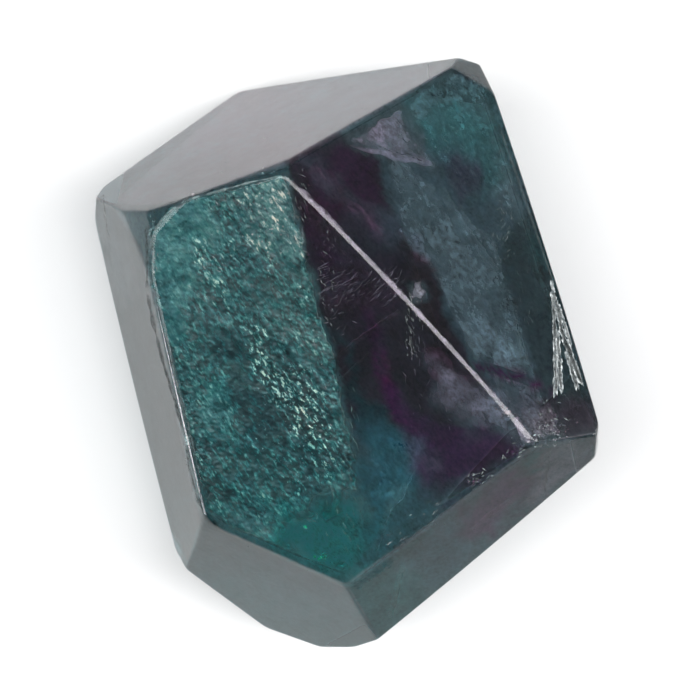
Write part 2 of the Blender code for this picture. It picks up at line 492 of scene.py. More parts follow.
def product(tree, one, other):
    """The product of two numbers or of two colours, each a socket or a plain number."""
    node = add_node(tree, "VectorMath", operation="MULTIPLY")
    for socket, value in zip(node.inputs, (one, other)):
        if isinstance(value, bpy.types.NodeSocket):
            tree.links.new(value, socket)
        else:
            socket.default_value = (value,) * 3
    return node.outputs[0]


frost = smooth_step(-skin_normals[:, 2], 0.06, 0.20)
tint = paint(plan_place(skin_points), (0.45, 0.62, 0.66), TINT_ZONES)
past_back_wall = grind_depths(skin_points)[:, list(GRINDS).index("back_wall")]
on_back_wall = np.clip(np.exp(10 * past_back_wall), 0, 1)[:, None]
tint += on_back_wall * (np.array([1.0, 0.72, 0.80]) - tint)
tint += frost[:, None] * (1 - tint)
stone = mesh_piece("fluorite_skin", in_frame(skin_points), skin_faces, skin_normals)
mark(stone, "frost", frost)
mark(stone, "depth", 0.25 + 0.75 * smooth_step(skin_normals[:, 2], 0.35, 0.85))
mark(stone, "tint", with_solidness(np.clip(tint, 0, 1), np.ones(len(tint))), "FLOAT_COLOR")

FLUORITE_IOR = 1.434
material, tree, shader = part_material("fluorite")
tinted = add_node(tree, "Attribute", attribute_name="tint").outputs["Color"]
depth = add_node(tree, "Attribute", attribute_name="depth").outputs["Fac"]
mottle = ranged(tree, noise_field(tree, 420, 10, 0.72, warp=0.0008), 0.34, 0.66, -0.55, 0.60)
specks = ranged(tree, noise_field(tree, 3000, 3, 0.6, -0.9, 1.5), 0.36, 0.66, -0.30, 0.45)
mottle = combined(tree, "ADD", mottle, specks)
mottle = combined(tree, "MULTIPLY_ADD", mottle, depth, 1.0)
mottle = combined(tree, "MAXIMUM", mottle, 0.15)
tinted = product(tree, tinted, mottle)
tinted = add_node(tree, "VectorMath", {0: tinted, 1: (1, 1, 1)}, operation="MINIMUM").outputs[0]
tree.links.new(tinted, shader.inputs["Base Color"])
matt = add_node(tree, "Attribute", attribute_name="frost").outputs["Fac"]
tree.links.new(ranged(tree, matt, 0, 1, 0.035, 0.5), shader.inputs["Roughness"])
shader.inputs["IOR"].default_value = FLUORITE_IOR
shader.inputs["Transmission Weight"].default_value = 1.0
CLEAR_CRYSTAL, ABSORPTION = (0.30, 0.48, 0.50, 1), 70.0  # its own colour, and how dense, per metre
absorb = add_node(tree, "VolumeAbsorption", {"Color": CLEAR_CRYSTAL, "Density": ABSORPTION})
tree.links.new(absorb.outputs[0], tree.nodes["Material Output"].inputs["Volume"])
stone.data.materials.append(material)
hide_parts("fluorite_stone")
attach(stone, "root")

# ---------------------------------------------------------------------------------------------
# The grained veil: a healed cleavage that lies just under the near top face, hammered into
# silvery green grains where the crystal closed over it again. It ends at the purple column.
# ---------------------------------------------------------------------------------------------

HEADROOM = 30.0  # mm above the floor, just clear of the stone's top


def deepest_along(starts, rays, longest):
    """Distance along unit rays to where they are deepest inside, by thirds: a ray's depth in a
    stone with no hollows falls and then rises, so the third past the deeper mark is kept out."""
    near, far = np.zeros(len(rays)), np.full(len(rays), longest)
    for _ in range(THIRDINGS):
        third = (far - near) / 3
        nearer = (outside(starts + rays * (near + third)[:, None])
                  < outside(starts + rays * (far - third)[:, None]))
        near, far = np.where(nearer, near, near + third), np.where(nearer, far - third, far)
    return (near + far) / 2


def under_skin(places, depth):
    """Points, in mm from the heart, that show at given plan places but lie inside the stone.

    A sight line runs from the eye through each place. From its deepest point the skin is found
    back towards the eye. There the line bends by Snell's law
    (bent = ray / n + (cos(in) / n - cos(out)) * normal), and goes on for the given depth.
    """
    slope = (places - PLAN_MIDDLE) / PLAN_SCALE * (1, -1)
    ray = np.concatenate([slope, -np.ones((len(places), 1))], axis=1)
    above = (EYE + ray * (EYE[2] - HEADROOM) - SEAT) / GRIND_SCALE
    ray /= np.linalg.norm(ray, axis=1, keepdims=True)
    deep = above + ray * deepest_along(above, ray, HEADROOM)[:, None]
    skin = deep - ray * reach_along(deep, -ray, HEADROOM)[:, None]
    normal = outward_normals(skin)
    cos_in = -(ray * normal).sum(axis=1)
    cos_out = np.sqrt(1 - (1 - cos_in**2) / FLUORITE_IOR**2)
    bent = ray / FLUORITE_IOR + (cos_in / FLUORITE_IOR - cos_out)[:, None] * normal
    return skin + bent * np.reshape(depth, (-1, 1))


def facing_up(places):
    """How far up the skin faces at plan places: the upward part of its outward normal there, or -1
    where the sight line misses the stone."""
    skin = under_skin(places, 0.0)
    return np.where(outside(skin) < 0.01, outward_normals(skin)[:, 2], -1.0)


def lying_on_top(places, least=0.55):
    """Which of the shapes (N, ..., 2) have every corner on a face that looks up enough."""
    up = facing_up(places.reshape(-1, 2)).reshape(len(places), -1)
    return up.min(axis=1) > least


def plan_grid(left, top, right, bottom, step):
    """Plan places of a grid of square cells, row by row, and its quads wound to face the eye."""
    x, y = np.meshgrid(np.arange(left, right, step), np.arange(top, bottom, step))
    rows, columns = x.shape
    first = (np.arange(rows - 1)[:, None] * columns + np.arange(columns - 1)).ravel()
    quads = np.stack([first, first + columns, first + columns + 1, first + 1], axis=1)
    return np.stack([x.ravel(), y.ravel()], axis=1), quads


def kept_part(points, quads, kept):
    """The quads whose four corners are all kept, with only the points that they use."""
    quads = quads[kept[quads].all(axis=1)]
    used = np.unique(quads)
    new = np.zeros(len(points), int)
    new[used] = np.arange(len(used))
    return used, new[quads]


NEAR_TOP_OUTLINE = [(150, 232), (165, 210), (190, 196), (282, 174)] + GRAIN_EDGE + [
    (352, 540), (345, 572), (300, 556), (228, 528), (204, 508), (199, 486), (178, 395), (150, 285),
]
# Where the veil is milky and where it is grained: outline, softness and wander in steps, strength,
# then how milky it is between its grains and how strongly the grains stand out, both 0..1
GRAIN_ZONES = [
    ([(150, 215), (200, 195), (222, 225), (205, 262), (185, 300), (178, 345), (160, 330)], 12, 8, 1,
     (0.30, 0.15)),
    ([(215, 200), (292, 176), (306, 250), (300, 262), (262, 250), (240, 240)], 12, 9, 1, (0.27, 0.34)),
    ([(258, 186), (288, 178), (303, 236), (312, 262), (290, 256), (268, 225)], 7, 5, 1, (0.44, 0.38)),
    ([(215, 262), (262, 262), (262, 300), (215, 308)], 10, 7, 0.8, (0.12, 0.26)),
    ([(190, 240), (198, 238), (232, 300), (224, 304)], 4, 3, 0.9, (0.34, 0.50)),
    ([(200, 318), (236, 325), (240, 352), (205, 362)], 9, 6, 0.9, (0.06, 0.14)),
    ([(312, 320), (334, 345), (352, 440), (360, 500), (346, 500), (322, 420)], 8, 5, 0.9, (0.13, 0.34)),
    ([(172, 390), (200, 395), (205, 440), (186, 440)], 8, 5, 0.9, (0.19, 0.32)),
    ([(200, 380), (232, 382), (236, 420), (206, 428)], 9, 6, 0.9, (0.31, 0.22)),
    ([(188, 446), (250, 446), (322, 446), (330, 492), (262, 498), (200, 496)], 10, 7, 0.95,
     (0.06, 0.34)),
    ([(226, 345), (244, 352), (262, 388), (286, 425), (282, 448), (252, 446), (236, 410), (222, 372)],
     8, 5, 1, (0.01, 0.17)),
    ([(238, 320), (258, 320), (292, 352), (314, 386), (334, 440), (338, 478), (316, 470), (288, 430),
      (264, 386), (244, 346)], 6, 4, 1, (0.16, 0.68)),
    ([(262, 354), (290, 360), (312, 400), (322, 438), (304, 440), (282, 400)], 6, 4, 0.9,
     (0.16, 0.95)),
    ([(205, 505), (296, 498), (300, 550), (225, 528)], 9, 6, 0.9, (0.20, 0.22)),
    ([(300, 505), (380, 490), (380, 580), (270, 560)], 14, 10, 0.95, (0.0, 0.0)),
]
grid_places, grid_quads = plan_grid(140, 168, 372, 580, 0.95)
frayed = 2.2 * ripple(grid_places, 14, 61)[:, None] * (1, 0.4)
margin = inside_by(grid_places + frayed, NEAR_TOP_OUTLINE)
used, grain_quads = kept_part(grid_places, grid_quads, margin > 0)
places, margin = grid_places[used], margin[used]
milky, grained = paint(places, (0.15, 0.30), GRAIN_ZONES).T
relief = 0.03 * ripple(places, 13, 71) + 0.02 * ripple(places, 7, 72)  # mm
sunk = 0.42 - relief * (0.3 + 1.5 * grained) + 0.05 * ripple(places, 60, 73)  # mm
grain_points = under_skin(places, sunk)
veil = mesh_piece("grained_veil", in_frame(grain_points), [grain_quads])
cover = smooth_step(margin, 0, 5) * smooth_step(milky + grained, 0.02, 0.20)
for name, share in (("milky", milky), ("grained", grained), ("cover", cover)):
    mark(veil, name, share)

STROKE_WAY = -0.95  # radians round from +X, the way the grains are drawn out
material, tree, shader = part_material("grained_veil")
milky, grained, cover = (add_node(tree, "Attribute", attribute_name=name).outputs["Fac"]
                         for name in ("milky", "grained", "cover"))
blotch = ranged(tree, noise_field(tree, 480, 9, 0.75, STROKE_WAY, 2.0, 0.0012), 0.34, 0.66, -1.0, 1.0)
strokes = noise_field(tree, 3600, 3, 0.6, STROKE_WAY, 2.4, 0.00022)
flecks = combined(tree, "POWER", ranged(tree, strokes, 0.40, 0.66, 0.0, 1.2), 2.2)
flecks = combined(tree, "MULTIPLY_ADD", creases(tree, 1500, STROKE_WAY, 2.2, 0.055), -0.60, flecks)
flecks = combined(tree, "SUBTRACT", flecks, 0.17)
milky = combined(tree, "MULTIPLY", milky, ranged(tree, blotch, -1, 1, 0.65, 1.35))
grained = combined(tree, "MULTIPLY", grained, ranged(tree, blotch, -1, 1, 0.25, 1.85))
bright = combined(tree, "MULTIPLY_ADD", flecks, grained, milky)
ramp = add_node(tree, "ValToRGB", {"Fac": bright})
ramp.color_ramp.elements[0].color = (0.001, 0.022, 0.027, 1)
ramp.color_ramp.elements[1].color = (0.92, 0.88, 0.74, 1)
for position, colour in ((0.20, (0.003, 0.108, 0.112, 1)), (0.50, (0.090, 0.26, 0.245, 1))):
    ramp.color_ramp.elements.new(position).color = colour
tree.links.new(ramp.outputs["Color"], shader.inputs["Base Color"])
cover = combined(tree, "MULTIPLY", cover, ranged(tree, bright, 0.0, 0.35, 0.90, 1.0))
tree.links.new(cover, shader.inputs["Alpha"])
shader.inputs["Roughness"].default_value = 0.35
veil.data.materials.append(material)
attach(veil, "root")

# ---------------------------------------------------------------------------------------------
# The cloudy veil: a thin milky sheet of tiny inclusions that dips under the purple column and
# the far top face. It is dense where the clear block looks grey, and gone over the slate.
# ---------------------------------------------------------------------------------------------

FAR_SIDE_OUTLINE = [(286, 172), (300, 168), (350, 137), (400, 106), (452, 68), (481, 76), (500, 120),
                    (560, 318), (588, 410), (592, 426), (560, 434), (528, 448), (470, 482),
                    (400, 530), (352, 572), (362, 520)] + GRAIN_EDGE[::-1]
# outline, softness and wander in steps, strength, then milkiness 0..1 and the milk's colour
CLOUD_ZONES = [
    ([(385, 150), (440, 190), (500, 250), (515, 300), (548, 420), (520, 418), (478, 366),
      (440, 280), (402, 228)], 3, 3, 1, (0.50, 0.16, 0.205, 0.215)),
    ([(395, 200), (450, 215), (470, 280), (430, 262)], 14, 8, 0.8, (0.62, 0.19, 0.245, 0.25)),
    ([(398, 228), (414, 232), (436, 262), (424, 262), (405, 246)], 5, 3, 0.9, (0.75, 0.26, 0.28, 0.32)),
    ([(470, 330), (510, 320), (535, 400), (500, 370)], 10, 6, 0.8, (0.75, 0.26, 0.32, 0.34)),
    ([(385, 112), (470, 72), (495, 90), (525, 200), (480, 200), (430, 150)], 12, 7, 1,
     (0.42, 0.10, 0.22, 0.23)),
    ([(384, 118), (398, 112), (410, 150), (396, 160)], 4, 2, 0.9, (0.62, 0.24, 0.30, 0.34)),
    ([(445, 150), (478, 160), (486, 188), (462, 204), (448, 180)], 7, 5, 0.9,
     (0.35, 0.12, 0.08, 0.14)),
    ([(400, 108), (455, 66), (482, 76), (502, 116), (470, 112)], 8, 5, 1, (0.90, 0.19, 0.21, 0.23)),
    ([(497, 110), (560, 300), (592, 410), (575, 420), (540, 300), (485, 120)], 8, 5, 0.9,
     (0.60, 0.10, 0.17, 0.17)),
    ([(344, 137), (398, 104), (428, 162), (404, 156), (364, 146)], 4, 3, 0.95,
     (0.72, 0.18, 0.18, 0.22)),
    ([(352, 136), (378, 124), (386, 146), (362, 145)], 5, 3, 0.9, (0.82, 0.31, 0.28, 0.35)),
    ([(348, 144), (372, 148), (404, 155), (430, 161), (434, 167), (400, 161), (368, 152)], 1.5, 1, 1,
     (0.9, 0.28, 0.27, 0.33)),
    ([(498, 128), (520, 175), (530, 205), (512, 222), (494, 180)], 8, 5, 0.9,
     (0.40, 0.16, 0.22, 0.23)),
    ([(424, 354), (440, 352), (452, 368), (446, 384), (430, 378)], 5, 3, 0.8,
     (0.80, 0.34, 0.34, 0.42)),
    ([(430, 358), (448, 366), (470, 380), (545, 398), (562, 424), (534, 440), (500, 430),
      (462, 418), (438, 400)], 7, 5, 0.95, (0.55, 0.19, 0.225, 0.26)),
    ([(436, 366), (452, 370), (462, 396), (520, 412), (540, 432), (500, 426), (456, 412)], 7, 5, 0.8,
     (0.68, 0.26, 0.31, 0.35)),
    (RIDGE_FOOT, 7, 5, 0.8, (0.60, 0.30, 0.30, 0.33)),
    ([(410, 284), (418, 282), (420, 289), (428, 293), (424, 303), (417, 299), (412, 303), (409, 294)],
     2.5, 3, 0.9, (0.90, 0.50, 0.52, 0.56)),
    ([(294, 160), (320, 160), (346, 192), (388, 226), (386, 242), (352, 214), (316, 184)], 6, 4, 0.8,
     (0.36, 0.24, 0.19, 0.25)),
    ([(330, 262), (372, 262), (402, 280), (396, 312), (350, 318), (322, 290)], 12, 7, 0.9,
     (0.22, 0.26, 0.20, 0.28)),
    ([(376, 345), (386, 345), (391, 384), (380, 380)], 5, 3, 0.8, (0.36, 0.26, 0.16, 0.25)),
    ([(372, 430), (410, 432), (420, 470), (400, 505), (372, 490)], 14, 7, 0.9,
     (0.42, 0.12, 0.22, 0.27)),
    ([(300, 196), (330, 205), (352, 238), (330, 246), (306, 224)], 12, 7, 0.8,
     (0.30, 0.24, 0.16, 0.26)),
    (PURPLE_VEIN, 2.0, 1.0, 1, (0.0, 0.10, 0.02, 0.08)),
    ([(545, 445), (505, 462), (520, 440), (552, 424)], 5, 3, 0.8, (0.60, 0.36, 0.36, 0.38)),
]
grid_places, grid_quads = plan_grid(284, 66, 596, 580, 1.5)
margin = inside_by(grid_places + 1.5 * ripple(grid_places, 12, 81)[:, None], FAR_SIDE_OUTLINE)
used, cloud_quads = kept_part(grid_places, grid_quads, (margin > 0) & (facing_up(grid_places) > 0.4))
places, margin = grid_places[used], margin[used]
cloud = paint(places, (0.12, 0.08, 0.09, 0.13), CLOUD_ZONES)
fold = 0.10 * ripple(places, 42, 83) + 0.05 * ripple(places, 15, 84)  # mm
dip = 0.55 + 0.9 * smooth_step(places[:, 0], 300, 560)  # mm, deeper towards the right
cloud_points = under_skin(places, dip + fold)
clouds = mesh_piece("cloudy_veil", in_frame(cloud_points), [cloud_quads])
mark(clouds, "milk", cloud[:, 0] * smooth_step(margin, 0, 6))
mark(clouds, "tint", with_solidness(cloud[:, 1:], np.ones(len(cloud))), "FLOAT_COLOR")

material, tree, shader = part_material("cloudy_veil")
tinted = add_node(tree, "Attribute", attribute_name="tint").outputs["Color"]
milk = add_node(tree, "Attribute", attribute_name="milk").outputs["Fac"]
wisps = noise_field(tree, 480, 10, 0.74, STROKE_WAY, 1.8, 0.0012)
grit = noise_field(tree, 2800, 3, 0.65, STROKE_WAY, 1.6, 0.0002)
grit = ranged(tree, grit, 0.36, 0.66, 0.30, 1.5)
net = combined(tree, "ADD", creases(tree, 900, STROKE_WAY, 1.8, 0.045),
               creases(tree, 2000, -0.4, 1.5, 0.05))
grit = combined(tree, "MULTIPLY_ADD", net, 0.40, grit)
tree.links.new(product(tree, tinted, grit), shader.inputs["Base Color"])
cover = combined(tree, "MULTIPLY", ranged(tree, wisps, 0.36, 0.60, 0.30, 1.5), milk)
tree.links.new(ranged(tree, cover, 0, 1, 0, 1), shader.inputs["Alpha"])
shader.inputs["Roughness"].default_value = 0.6
clouds.data.materials.append(material)
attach(clouds, "root")

# ---------------------------------------------------------------------------------------------
# The wall haze: a breath of milkiness just under the side walls, thickest under the long back
# wall and faintly pink along its middle.
# ---------------------------------------------------------------------------------------------

WALL_OUTLINES = {
    "back": [(112, 200), (150, 166), (240, 92), (330, 75), (450, 60), (445, 76), (350, 131),
             (285, 170), (160, 206), (130, 208)],
    "front_right": [(355, 588), (440, 528), (545, 450), (592, 442), (588, 462), (480, 560), (384, 638)],
    "front_left": [(196, 530), (212, 530), (345, 586), (376, 636), (350, 645), (290, 642), (200, 578)],
    "left": [(104, 200), (138, 220), (150, 300), (196, 500), (190, 545), (150, 440)],
}
# outline, softness and wander in steps, strength, then milkiness 0..1 and the milk's colour
HAZE_ZONES = [
    ([(90, 215), (460, 215), (460, 30), (90, 30)], 1, 0, 1, (0.14, 0.80, 0.84, 0.92)),
    ([(190, 90), (290, 80), (320, 160), (180, 190)], 30, 10, 0.8, (0.14, 0.98, 0.72, 0.84)),
    ([(330, 70), (450, 50), (440, 90), (340, 130)], 20, 8, 0.8, (0.14, 0.80, 0.82, 0.92)),
    ([(340, 580), (600, 400), (620, 480), (370, 660)], 2, 0, 1, (0.04, 0.42, 0.62, 0.70)),
    ([(470, 520), (550, 450), (560, 480), (480, 550)], 14, 8, 0.7, (0.06, 0.62, 0.50, 0.62)),
    ([(395, 565), (412, 560), (404, 615), (388, 620)], 5, 3, 0.9, (0.28, 0.55, 0.72, 0.74)),
    ([(190, 540), (250, 545), (300, 600), (220, 590)], 16, 8, 0.7, (0.05, 0.60, 0.85, 0.85)),
]


def wall_sheet(outlines, step):
    """Plan places and quads of grids cut to each outline, one after the other, with how far in
    from its outline each place is."""
    places, quads, margins, first = [], [], [], 0
    for outline in outlines:
        (left, top), (right, bottom) = np.min(outline, axis=0), np.max(outline, axis=0)
        grid, cells = plan_grid(left, top, right, bottom, step)
        margin = inside_by(grid, outline)
        used, cells = kept_part(grid, cells, (margin > 0) & (facing_up(grid) > 0.15))
        places.append(grid[used])
        margins.append(margin[used])
        quads.append(cells + first)
        first += len(used)
    return np.concatenate(places), np.concatenate(quads), np.concatenate(margins)


places, haze_quads, margin = wall_sheet(WALL_OUTLINES.values(), 2.5)
haze = paint(places, (0.03, 0.55, 0.62, 0.64), HAZE_ZONES)
haze_points = under_skin(places, 0.35 + 0.05 * ripple(places, 40, 91))  # mm
haze_sheet = mesh_piece("wall_haze", in_frame(haze_points), [haze_quads])
mark(haze_sheet, "milk", haze[:, 0] * smooth_step(margin, 0, 6))
mark(haze_sheet, "tint", with_solidness(haze[:, 1:], np.ones(len(haze))), "FLOAT_COLOR")
material, tree, shader = part_material("wall_haze")
tinted = add_node(tree, "Attribute", attribute_name="tint").outputs["Color"]
milk = add_node(tree, "Attribute", attribute_name="milk").outputs["Fac"]
drifts = noise_field(tree, 120, 8, 0.62, 0.6, 1.6, 0.004)
tree.links.new(tinted, shader.inputs["Base Color"])
tree.links.new(product(tree, milk, ranged(tree, drifts, 0.35, 0.65, 0.6, 1.45)), shader.inputs["Alpha"])
shader.inputs["Roughness"].default_value = 0.6
haze_sheet.data.materials.append(material)
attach(haze_sheet, "root")

# ---------------------------------------------------------------------------------------------
# Silver threads: hair-fine healed cracks inside the crystal, which catch the light as strokes.
# They lie in swarms along the ridge, beside the grained veil and down the edge of the slate.
# ---------------------------------------------------------------------------------------------

# Each swarm: its middle and spread in steps, the way its strokes run (degrees, 0 to the right and
# counting up) and how far they stray, how many, the shortest and longest in steps, how solid, and
# the colour of its strokes
SILVER, LILAC, SEA = (0.20, 0.23, 0.23), (0.105, 0.095, 0.13), (0.08, 0.17, 0.165)
THREAD_SWARMS = [
    ((350, 288), (20, 8), 33, 14, 56, (5, 20), 0.17, LILAC),
    ((386, 286), (11, 8), 40, 14, 44, (5, 16), 0.28, LILAC),
    ((326, 256), (12, 16), 40, 40, 22, (3, 8), 0.20, LILAC),
    ((330, 300), (14, 30), 24, 26, 40, (4, 14), 0.25, LILAC),
    ((411, 328), (3, 16), -74, 12, 56, (3, 10), 0.32, SILVER),
    ((420, 360), (8, 16), -74, 18, 30, (4, 12), 0.28, LILAC),
    ((348, 470), (6, 40), -68, 12, 60, (6, 22), 0.28, SEA),
    ((316, 470), (18, 36), -54, 20, 80, (4, 14), 0.30, SEA),
    ((324, 330), (6, 52), -62, 18, 70, (3, 9), 0.30, SILVER),
    ((299, 215), (5, 26), -66, 14, 44, (3, 10), 0.30, SILVER),
    ((180, 262), (12, 30), -55, 26, 40, (4, 12), 0.25, SEA),
    ((154, 262), (2, 26), -84, 20, 34, (3, 9), 0.60, SILVER),
    ((210, 270), (12, 24), -52, 16, 50, (4, 14), 0.35, SILVER),
    ((455, 130), (36, 24), -50, 60, 70, (2, 7), 0.16, SEA),
    ((512, 175), (9, 30), -70, 40, 60, (2, 7), 0.20, SILVER),
    ((503, 235), (5, 20), -100, 26, 50, (3, 8), 0.20, SILVER),
    ((524, 330), (4, 46), -70, 12, 30, (3, 9), 0.14, SILVER),
    ((550, 424), (10, 12), 40, 40, 70, (2, 8), 0.50, SILVER),
    ((470, 400), (24, 14), -70, 20, 50, (4, 12), 0.16, LILAC),
    ((402, 538), (10, 6), 36, 26, 26, (2, 8), 0.45, SILVER),
    ((440, 510), (12, 6), 36, 26, 30, (2, 8), 0.45, SILVER),
    ((482, 479), (12, 6), 36, 26, 34, (2, 8), 0.50, SILVER),
    ((520, 452), (10, 6), 36, 30, 34, (2, 7), 0.50, SILVER),
]
TOP_OUTLINE = [(151, 214), (350, 128), (455, 64), (482, 78), (596, 432), (548, 442), (346, 585),
               (204, 512), (146, 280)]


def thread_bundle(swarms, width, seed):
    """Plan places of tapered strokes, with their colours and solidness.

    A stroke is a ribbon of five cross-lines: along a line of its length that bends by a random
    arc, half as wide as width * sin(pi * share of its length) either side, and never quite nil.
    """
    dice = np.random.default_rng(seed)
    share = np.linspace(0, 1, 5)
    places, tints = [], []
    for middle, spread, way, stray, number, (short, long), solid, colour in swarms:
        centre = np.array(middle) + dice.normal(size=(number, 2)) * spread
        centre = centre[inside_by(centre, TOP_OUTLINE) > long * 0.45]
        number = len(centre)
        angle = np.radians(-way + dice.normal(size=number) * stray)
        length = dice.uniform(short, long, number) * dice.uniform(0.5, 1, number)
        bend = dice.normal(size=number) * 0.03 * length
        along = np.stack([np.cos(angle), np.sin(angle)], axis=1)
        aside = np.stack([-along[:, 1], along[:, 0]], axis=1)
        spine = centre[:, None] + along[:, None] * ((share - 0.5) * length[:, None])[..., None]
        spine = spine + aside[:, None] * (bend[:, None] * (1 - (2 * share - 1) ** 2))[..., None]
        wide = width * dice.uniform(0.5, 1.3, number)[:, None] * (0.15 + np.sin(np.pi * share))
        places.append(np.stack([spine - aside[:, None] * wide[..., None] / 2,
                                spine + aside[:, None] * wide[..., None] / 2], axis=2))
        tint = np.ones((number, 5, 2, 4)) * (*colour, solid)
        tints.append(tint * dice.uniform(0.5, 1.4, (number, 1, 1, 1)))
    return np.concatenate(places), np.concatenate(tints)


def ribbon_faces(number, lines):
    """Quads of separate ribbons, each of a number of two-point cross-lines."""
    first = (np.arange(number)[:, None] * lines + np.arange(lines - 1)).ravel() * 2
    return np.stack([first, first + 1, first + 3, first + 2], axis=1)


SKIM = -0.004  # mm; just out of the polished face, where a healed crack comes up to it
stroke_places, stroke_tints = thread_bundle(THREAD_SWARMS, 0.7, 41)
kept = lying_on_top(stroke_places)
stroke_places, stroke_tints = stroke_places[kept], stroke_tints[kept]
strokes = mesh_piece(
    "silver_threads", in_frame(under_skin(stroke_places.reshape(-1, 2), SKIM)),
    [ribbon_faces(len(stroke_places), 5)],
)
mark(strokes, "tint", np.clip(stroke_tints, 0, 1), "FLOAT_COLOR")
material, tree, shader = part_material("silver_thread")
tinted = add_node(tree, "Attribute", attribute_name="tint")
glint = ranged(tree, noise_field(tree, 3200, 2, 0.5), 0.35, 0.65, 0.4, 1.5)
tree.links.new(product(tree, tinted.outputs["Color"], glint), shader.inputs["Base Color"])
tree.links.new(product(tree, tinted.outputs["Alpha"], glint), shader.inputs["Alpha"])
shader.inputs["Roughness"].default_value = 0.4
strokes.data.materials.append(material)
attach(strokes, "root")

# ---------------------------------------------------------------------------------------------
# The white feather: an open fracture just inside the right-hand rim, whose air films shine white
# in blades that fan down and out from one straight quill.
# ---------------------------------------------------------------------------------------------

# Each row of blades: where its quill starts and ends, the way its blades run (degrees) at both
# ends, how many, how long at both ends, and how wide they are
FEATHER_ROWS = [
    ((552, 280), (555, 335), (-84, -86), 130, (4, 8), 1.7),
    ((553, 292), (562, 333), (-64, -64), 130, (3, 7), 1.7),
    ((556, 300), (570, 340), (-70, -70), 130, (3, 6), 1.7),
    ((554, 322), (556, 388), (-86, -90), 120, (5, 10), 1.9),
    ((557, 330), (561, 386), (-80, -88), 130, (5, 9), 1.8),
    ((560, 328), (570, 352), (-66, -60), 130, (4, 8), 1.8),
    ((564, 340), (579, 378), (-56, -62), 200, (5, 10), 2.0),
    ((566, 352), (577, 384), (-80, -84), 140, (4, 7), 1.8),
]


RIM_X, RIM_Y, RIM_SLOPE = 555.0, 283.0, 0.279  # a place on the rim, and steps across per step down


def feather_blades(rows, seed):
    """Plan places (N, 5, 3, 2) and tones of leaf-shaped blades of five cross-lines of three: half
    as wide as width * sin(pi * share ** 0.7) either side of a straight midrib. None of them goes
    past the rim, a straight line down the right-hand side."""
    dice = np.random.default_rng(seed)
    share = np.linspace(0.02, 1, 5)
    places, tones = [], []
    for start, end, ways, number, lengths, width in rows:
        place = np.sort(dice.uniform(0, 1, number))
        root = np.array(start) + np.outer(place, np.subtract(end, start))
        root = root + dice.normal(size=(number, 2)) * 0.7
        angle = np.radians(-(ways[0] + (ways[1] - ways[0]) * place + dice.normal(size=number) * 8))
        length = (lengths[0] + (lengths[1] - lengths[0]) * place) * dice.uniform(0.5, 1.15, number)
        along = np.stack([np.cos(angle), np.sin(angle)], axis=1)
        aside = np.stack([-along[:, 1], along[:, 0]], axis=1)
        spine = root[:, None] + along[:, None] * (share * length[:, None])[..., None]
        half = width * dice.uniform(0.6, 1.3, number)[:, None] * np.sin(np.pi * share**0.7) / 2
        across = ((half + 0.08)[..., None] * (-1.0, 0.0, 1.0))[..., None]
        blades = spine[:, :, None] + aside[:, None, None] * across
        rim = RIM_X + RIM_SLOPE * (blades[..., 1] - RIM_Y)
        blades[..., 0] = np.minimum(blades[..., 0], rim)
        places.append(blades)
        tones.append(np.broadcast_to(dice.uniform(0.35, 1.0, (number, 1, 1)), half.shape + (3,)))
    return np.concatenate(places), np.concatenate(tones)


def strip_faces(number, lines, across):
    """Quads of separate strips, each of a number of cross-lines of several points."""
    line, point = np.meshgrid(np.arange(lines - 1), np.arange(across - 1), indexing="ij")
    first = (np.arange(number)[:, None] * lines * across + (line * across + point).ravel()).ravel()
    return np.stack([first, first + 1, first + across + 1, first + across], axis=1)


blade_places, blade_tones = feather_blades(FEATHER_ROWS, 43)
kept = lying_on_top(blade_places, 0.1)
blade_places, blade_tones = blade_places[kept], blade_tones[kept]
feather = mesh_piece(
    "white_feather", in_frame(under_skin(blade_places.reshape(-1, 2), SKIM)),
    [strip_faces(len(blade_places), 5, 3)],
)
mark(feather, "tone", blade_tones)
material, tree, shader = part_material("white_feather")
barbs = ranged(tree, noise_field(tree, 4200, 2, 0.6, -1.3, 1.6, 0.0002), 0.36, 0.58, 0.25, 1)
tone = add_node(tree, "Attribute", attribute_name="tone").outputs["Fac"]
barbs = combined(tree, "MULTIPLY", barbs, tone)
ramp = add_node(tree, "ValToRGB", {"Fac": barbs})
ramp.color_ramp.elements[0].color = (0.05, 0.08, 0.09, 1)
ramp.color_ramp.elements[1].color = (0.78, 0.82, 0.82, 1)
tree.links.new(ramp.outputs["Color"], shader.inputs["Base Color"])
tree.links.new(ranged(tree, barbs, 0, 0.4, 0.45, 1), shader.inputs["Alpha"])
shader.inputs["Roughness"].default_value = 0.25
feather.data.materials.append(material)
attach(feather, "root")
